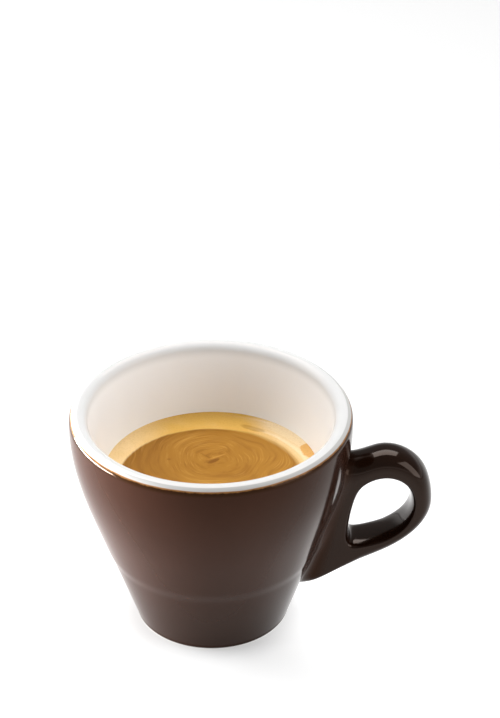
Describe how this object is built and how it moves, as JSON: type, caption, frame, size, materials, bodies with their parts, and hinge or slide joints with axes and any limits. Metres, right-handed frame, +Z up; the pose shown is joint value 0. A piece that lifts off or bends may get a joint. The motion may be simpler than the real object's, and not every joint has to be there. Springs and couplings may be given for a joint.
{
  "type": "espresso shot in a cup",
  "caption": "Espresso with golden crema in a thick-walled tulip cup, brown glazed outside and white inside, with a broad ear handle.",
  "frame": {"origin": "centre of the cup's flat underside", "axes": "+Z up along the cup's axis, +X through the handle"},
  "size_m": [0.0853, 0.0662, 0.056],
  "materials": {
    "brown_glaze": "glossy dark brown glaze outside, glossy warm white glaze inside and over the lip",
    "crema": "fine wet foam, golden at the wall and darker with swirled streaks in the middle"
  },
  "bodies": {
    "root": {"cup": "brown_glaze", "espresso": "crema"}
  },
  "joints": []
}
